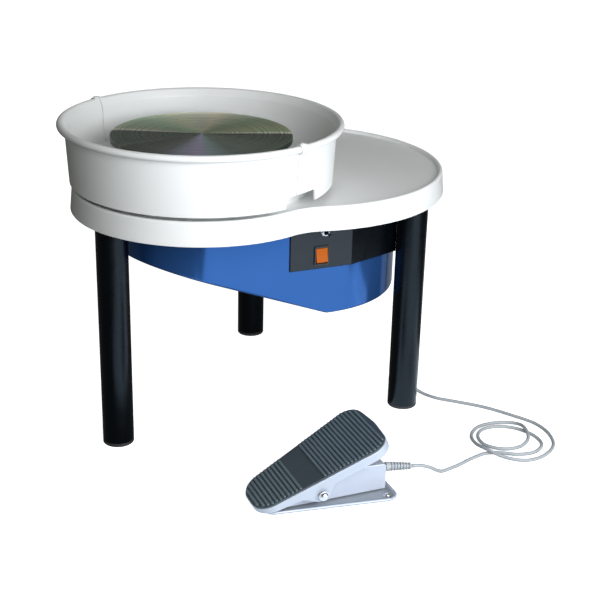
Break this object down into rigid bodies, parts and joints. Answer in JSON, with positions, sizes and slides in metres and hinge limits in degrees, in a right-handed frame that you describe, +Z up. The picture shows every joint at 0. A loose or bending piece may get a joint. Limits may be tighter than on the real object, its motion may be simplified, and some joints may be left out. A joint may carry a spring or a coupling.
{
  "type": "pottery wheel",
  "caption": "Electric throwing wheel: spun wheelhead inside a split splash pan on a keyhole table with tube legs, a belly pan and a treadle foot pedal on a cord.",
  "frame": {"origin": "on the floor, under the middle of everything but the cord", "axes": "+Z up; +X along the long side of the table, from the round end that carries the splash pan to the wide end; the control panel and the foot pedal are on the -Y side"},
  "size_m": [0.7019, 0.7794, 0.5347],
  "materials": {
    "white_plastic": "moulded, soft gloss",
    "spun_aluminium": "turned, fine concentric tool marks",
    "black_steel": "semi-gloss powder coat",
    "blue_steel": "satin powder coat",
    "slate_steel": "fine-texture powder coat",
    "bright_steel": "zinc-plated or ground",
    "cast_silver": "sand-cast and silver painted",
    "black_rubber": "matt",
    "pad_rubber": "ribbed, matt",
    "black_plastic": "moulded, satin",
    "orange_plastic": "translucent-look gloss",
    "green_board": "lacquered circuit board",
    "grey_cable": "soft vinyl sheath"
  },
  "bodies": {
    "root": {"bearing_housing": "cast_silver", "belly_pan": "blue_steel", "chassis_plate": "black_steel", "control_board": "green_board", "control_panel": "slate_steel", "cord_gland": "black_plastic", "drive_belt": "black_rubber", "filter_capacitor": "blue_steel", "foot_cap_left": "black_rubber", "foot_cap_rear": "black_rubber", "foot_cap_right": "black_rubber", "heatsink": "spun_aluminium", "leg_bolt_left": "bright_steel", "leg_bolt_rear": "bright_steel", "leg_bolt_right": "bright_steel", "leg_left": "black_steel", "leg_rear": "black_steel", "leg_right": "black_steel", "leg_socket_left": "bright_steel", "leg_socket_rear": "bright_steel", "leg_socket_right": "bright_steel", "lower_bearing_outer_race": "bright_steel", "motor_bracket": "black_steel", "motor_can": "black_steel", "motor_end_cap": "cast_silver", "pedal_base": "cast_silver", "pedal_base_bolt_heel": "bright_steel", "pedal_base_bolt_toe": "bright_steel", "pedal_cord": "grey_cable", "pedal_housing": "cast_silver", "pedal_strain_relief": "grey_cable", "power_inlet": "black_plastic", "rear_bracket": "black_steel", "rocker_bezel": "black_plastic", "speed_potentiometer": "black_plastic", "table_top": "white_plastic", "toggle_bushing": "bright_steel", "upper_bearing_outer_race": "bright_steel"},
    "wheel": {"wheelhead": "spun_aluminium", "hub_set_screw": "bright_steel", "spindle": "bright_steel", "spindle_nut": "bright_steel", "splash_slinger": "black_rubber", "driven_pulley": "spun_aluminium", "upper_bearing_inner_race": "bright_steel", "lower_bearing_inner_race": "bright_steel"},
    "motor": {"motor_armature": "bright_steel", "motor_pulley": "spun_aluminium"},
    "pan_round": {"splash_pan_round_half": "white_plastic", "rim_clip_near": "white_plastic", "rim_clip_far": "white_plastic"},
    "pan_table": {"splash_pan_table_half": "white_plastic"},
    "rocker": {"power_rocker": "orange_plastic"},
    "toggle": {"direction_toggle": "black_plastic"},
    "treadle": {"treadle": "cast_silver", "treadle_pad": "pad_rubber", "pivot_bolt": "bright_steel", "pivot_nut": "bright_steel"}
  },
  "joints": [
    {"name": "wheel_spin", "type": "hinge", "parent": "root", "child": "wheel", "pos_m": [-0.1166, 0.0847, 0.5066], "axis": [0, 0, 1], "continuous": true},
    {"name": "motor_spin", "type": "hinge", "parent": "root", "child": "motor", "pos_m": [0.0684, 0.0847, 0.3], "axis": [0, 0, 1], "continuous": true},
    {"name": "pan_round_pull", "type": "slide", "parent": "root", "child": "pan_round", "axis": [-0.989, -0.1478, 0], "range_m": [0, 0.17]},
    {"name": "pan_table_pull", "type": "slide", "parent": "root", "child": "pan_table", "axis": [0.989, 0.1478, 0], "range_m": [0, 0.17]},
    {"name": "power_rocker", "type": "hinge", "parent": "root", "child": "rocker", "pos_m": [-0.0021, -0.0889, 0.316], "axis": [0.9455, -0.3256, 0], "range_deg": [0, 12]},
    {"name": "direction_toggle", "type": "hinge", "parent": "root", "child": "toggle", "pos_m": [0.0019, -0.0903, 0.358], "axis": [0, 0, 1], "range_deg": [-12, 12]},
    {"name": "treadle_tilt", "type": "hinge", "parent": "root", "child": "treadle", "pos_m": [-0.1766, -0.2579, 0.033], "axis": [0.3371, 0.9415, 0], "range_deg": [0, 18]}
  ],
  "couplings": [
    {"joint": "motor_spin", "follows": "wheel_spin", "ratio": 3.8636}
  ]
}
